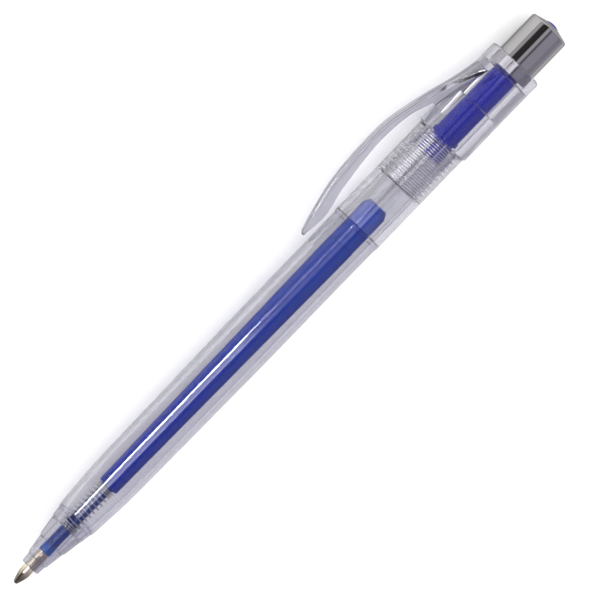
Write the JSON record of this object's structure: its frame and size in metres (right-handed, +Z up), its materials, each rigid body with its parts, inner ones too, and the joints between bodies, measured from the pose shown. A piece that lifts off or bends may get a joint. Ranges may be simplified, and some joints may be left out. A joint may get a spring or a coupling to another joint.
{
  "type": "retractable pen",
  "caption": "Push-button pen with a clear screw-together barrel, a moulded clip, a coil spring and a blue refill.",
  "frame": {"origin": "on the table, under the centre of the pen's bounding box, with the pen lying on its side", "axes": "+X along the pen, out of the writing tip; +Z up from the table; the clip points to -Y and a little down"},
  "size_m": [0.1452, 0.0162, 0.0116],
  "materials": {
    "clear_plastic": "clear moulded polystyrene, glossy, faintly lilac",
    "chromed_cap": "bright plated",
    "navy_plastic": "glossy, deep blue",
    "cam_plastic": "clear moulded",
    "spring_steel": "drawn wire",
    "refill_plastic": "translucent blue",
    "blue_ink": "blue ink",
    "follower_grease": "clear grease",
    "collar_plastic": "glossy blue",
    "nickel_silver": "turned metal",
    "ball_carbide": "ground and polished"
  },
  "bodies": {
    "upper_barrel": {"upper_barrel": "clear_plastic"},
    "clip": {"pocket_clip": "clear_plastic"},
    "button": {"button_cap": "chromed_cap", "plunger_tube": "navy_plastic"},
    "rotor": {"cam_rotor": "cam_plastic"},
    "spring": {"return_spring": "spring_steel"},
    "lower_barrel": {"lower_barrel": "clear_plastic"},
    "refill": {"refill_tube": "refill_plastic", "ink_column": "blue_ink", "grease_follower": "follower_grease", "refill_plug": "refill_plastic", "point_collar": "collar_plastic", "writing_point": "nickel_silver"},
    "ball": {"writing_ball": "ball_carbide"}
  },
  "joints": [
    {"name": "button_slide", "type": "slide", "parent": "upper_barrel", "child": "button", "axis": [-1, 0, 0], "range_m": [-0.0006, 0.0048]},
    {"name": "rotor_slide", "type": "slide", "parent": "upper_barrel", "child": "rotor", "axis": [-1, 0, 0], "range_m": [-0.0006, 0.0048]},
    {"name": "barrel_advance", "type": "slide", "parent": "upper_barrel", "child": "spring", "axis": [1, 0, 0], "range_m": [0, 0.0101]},
    {"name": "barrel_turn", "type": "hinge", "parent": "spring", "child": "lower_barrel", "pos_m": [0, 0.00229, 0.00578], "axis": [1, 0, 0], "range_deg": [0, 3456]},
    {"name": "refill_slide", "type": "slide", "parent": "spring", "child": "refill", "axis": [-1, 0, 0], "range_m": [-0.0006, 0.0048], "deforming": ["return_spring"]},
    {"name": "ball_roll", "type": "hinge", "parent": "refill", "child": "ball", "pos_m": [0.07225, 0.00229, 0.00578], "axis": [0, 0, 1], "continuous": true},
    {"name": "clip_flex", "type": "hinge", "parent": "upper_barrel", "child": "clip", "pos_m": [-0.0463, -0.00574, 0.00265], "axis": [0, 0.3634, -0.9316], "range_deg": [0, 4], "stiffness_Nm_per_rad": 4}
  ],
  "couplings": [
    {"joint": "rotor_slide", "follows": "button_slide", "ratio": 1},
    {"joint": "refill_slide", "follows": "button_slide", "ratio": 1},
    {"joint": "barrel_advance", "follows": "barrel_turn", "m_per_rad": 0.00016552}
  ]
}
